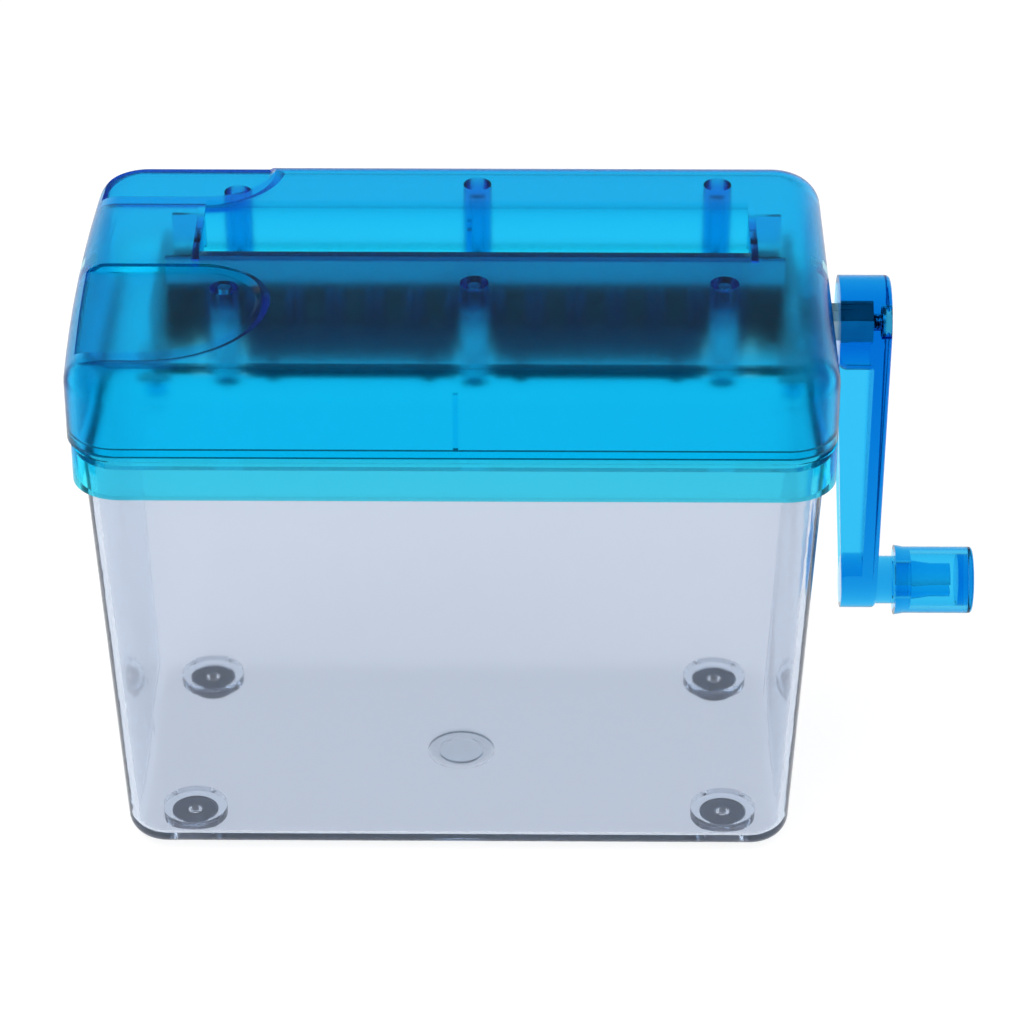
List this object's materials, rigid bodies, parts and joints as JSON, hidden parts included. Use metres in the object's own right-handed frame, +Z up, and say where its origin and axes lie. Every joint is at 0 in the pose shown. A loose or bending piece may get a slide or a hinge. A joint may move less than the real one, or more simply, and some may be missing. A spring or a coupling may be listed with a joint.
{
  "type": "hand-cranked paper shredder",
  "caption": "Small desk paper shredder: see-through blue head with a paper slot and geared cutter rollers turned by a side crank, standing on a clear tapered waste bin.",
  "frame": {"origin": "on the table, under the middle of the bin", "axes": "+X towards the crank, +Y to the back, +Z up"},
  "size_m": [0.1822, 0.0896, 0.119],
  "materials": {
    "bin_clear": "clear moulded polystyrene, faint blue at the edges",
    "lid_blue": "see-through blue moulded plastic, glossy outside, fine matt inside",
    "crank_blue": "see-through blue moulded plastic, glossy",
    "bush_nylon": "natural nylon, slightly milky",
    "comb_black": "black moulded plastic",
    "cutter_steel": "blackened steel, bright at the cutting edges",
    "bar_steel": "drawn steel",
    "bright_steel": "zinc-plated steel",
    "inner_plastic": "dark moulded plastic",
    "foot_rubber": "dark grey soft rubber"
  },
  "bodies": {
    "bin": {"rubber_feet": "foot_rubber", "waste_bin": "bin_clear"},
    "head": {"base_frame": "lid_blue", "bearing_plate_screws": "bright_steel", "cover_screws": "bright_steel", "front_left_comb": "comb_black", "front_right_comb": "comb_black", "left_bearing_plate": "bin_clear", "rear_left_comb": "comb_black", "rear_right_comb": "comb_black", "right_bearing_plate": "bin_clear", "top_cover": "lid_blue"},
    "front_cutter": {"crank_arm": "crank_blue", "crank_screw": "bright_steel", "front_disc_01": "cutter_steel", "front_disc_02": "cutter_steel", "front_disc_03": "cutter_steel", "front_disc_04": "cutter_steel", "front_disc_05": "cutter_steel", "front_disc_06": "cutter_steel", "front_disc_07": "cutter_steel", "front_disc_08": "cutter_steel", "front_disc_09": "cutter_steel", "front_disc_10": "cutter_steel", "front_disc_11": "cutter_steel", "front_disc_12": "cutter_steel", "front_disc_13": "cutter_steel", "front_disc_14": "cutter_steel", "front_left_bush": "bush_nylon", "front_left_gear": "inner_plastic", "front_right_bush": "bush_nylon", "front_right_gear": "inner_plastic", "front_shaft": "bar_steel", "front_spacers": "inner_plastic"},
    "rear_cutter": {"rear_disc_01": "cutter_steel", "rear_disc_02": "cutter_steel", "rear_disc_03": "cutter_steel", "rear_disc_04": "cutter_steel", "rear_disc_05": "cutter_steel", "rear_disc_06": "cutter_steel", "rear_disc_07": "cutter_steel", "rear_disc_08": "cutter_steel", "rear_disc_09": "cutter_steel", "rear_disc_10": "cutter_steel", "rear_disc_11": "cutter_steel", "rear_disc_12": "cutter_steel", "rear_disc_13": "cutter_steel", "rear_left_bush": "bush_nylon", "rear_left_gear": "inner_plastic", "rear_right_bush": "bush_nylon", "rear_right_gear": "inner_plastic", "rear_shaft": "bar_steel", "rear_spacers": "inner_plastic"},
    "knob": {"crank_knob": "crank_blue", "knob_end_cap": "crank_blue"}
  },
  "joints": [
    {"name": "head_lift", "type": "slide", "parent": "bin", "child": "head", "axis": [0, 0, 1], "range_m": [0, 0.1]},
    {"name": "crank_turn", "type": "hinge", "parent": "head", "child": "front_cutter", "pos_m": [0, 0.0052, 0.102], "axis": [1, 0, 0], "continuous": true},
    {"name": "rear_cutter_turn", "type": "hinge", "parent": "head", "child": "rear_cutter", "pos_m": [0, 0.0187, 0.102], "axis": [1, 0, 0], "continuous": true},
    {"name": "knob_spin", "type": "hinge", "parent": "front_cutter", "child": "knob", "pos_m": [0.0985, 0.0052, 0.0412], "axis": [1, 0, 0], "continuous": true}
  ],
  "couplings": [
    {"joint": "rear_cutter_turn", "follows": "crank_turn", "ratio": -1}
  ]
}
